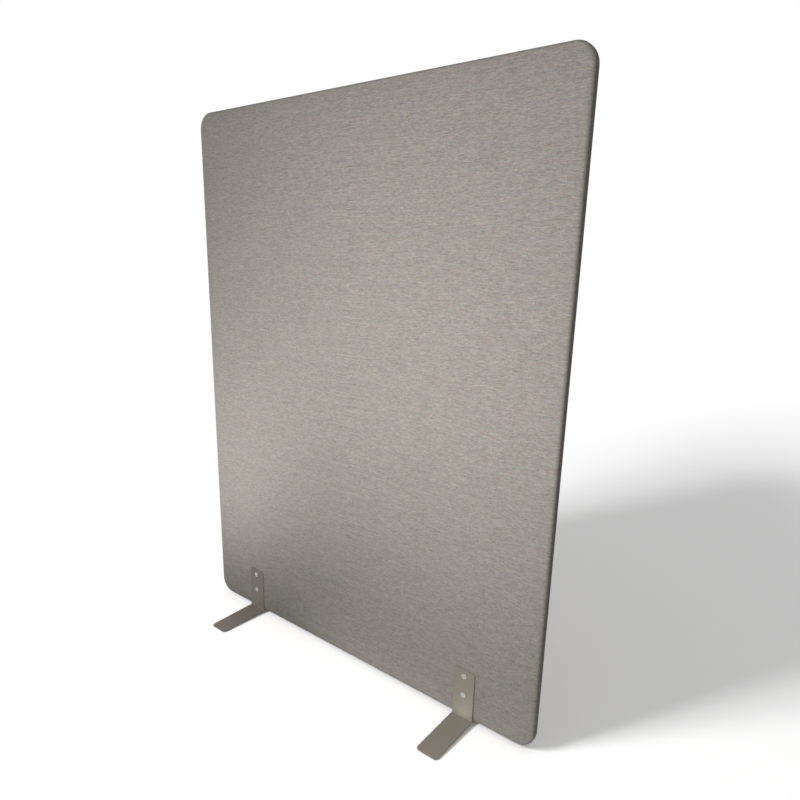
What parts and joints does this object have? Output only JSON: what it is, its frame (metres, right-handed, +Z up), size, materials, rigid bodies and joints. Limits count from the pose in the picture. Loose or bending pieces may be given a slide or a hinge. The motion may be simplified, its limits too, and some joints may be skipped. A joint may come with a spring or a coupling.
{
  "type": "acoustic divider screen",
  "caption": "Free-standing upholstered acoustic divider screen with rolled edges and rounded corners, held upright by bent steel strip feet bolted through the panel.",
  "frame": {"origin": "middle of the screen's footprint, on the floor that its pads rest on", "axes": "+X to the right along the width as seen from the front, -Y out of the front face, +Z up"},
  "size_m": [1.2, 0.336, 1.5079],
  "materials": {
    "cover_fabric": "grey-beige woven upholstery with short slubs along the width",
    "foot_paint": "satin taupe-grey powder coat",
    "fastener_zinc": "pale zinc plate",
    "pad_felt": "dense dark felt",
    "frame_wood": "planed softwood",
    "dowel_wood": "turned beech",
    "absorber_felt": "pressed polyester fibre",
    "upholstery_foam": "open-cell foam"
  },
  "bodies": {
    "root": {"left_stile": "frame_wood", "right_stile": "frame_wood", "top_rail": "frame_wood", "middle_rail": "frame_wood", "bottom_rail": "frame_wood", "left_foot_block": "frame_wood", "right_foot_block": "frame_wood", "rail_dowels": "dowel_wood", "foot_block_dowels": "dowel_wood", "upper_absorber_batt": "absorber_felt", "lower_absorber_batt": "absorber_felt", "front_foam_pad": "upholstery_foam", "rear_foam_pad": "upholstery_foam", "front_cover": "cover_fabric", "rear_cover": "cover_fabric", "front_left_foot": "foot_paint", "front_right_foot": "foot_paint", "rear_left_foot": "foot_paint", "rear_right_foot": "foot_paint", "left_connector_bolts": "fastener_zinc", "right_connector_bolts": "fastener_zinc", "left_sleeve_nuts": "fastener_zinc", "right_sleeve_nuts": "fastener_zinc", "front_left_floor_pad": "pad_felt", "front_right_floor_pad": "pad_felt", "rear_left_floor_pad": "pad_felt", "rear_right_floor_pad": "pad_felt"}
  },
  "joints": []
}
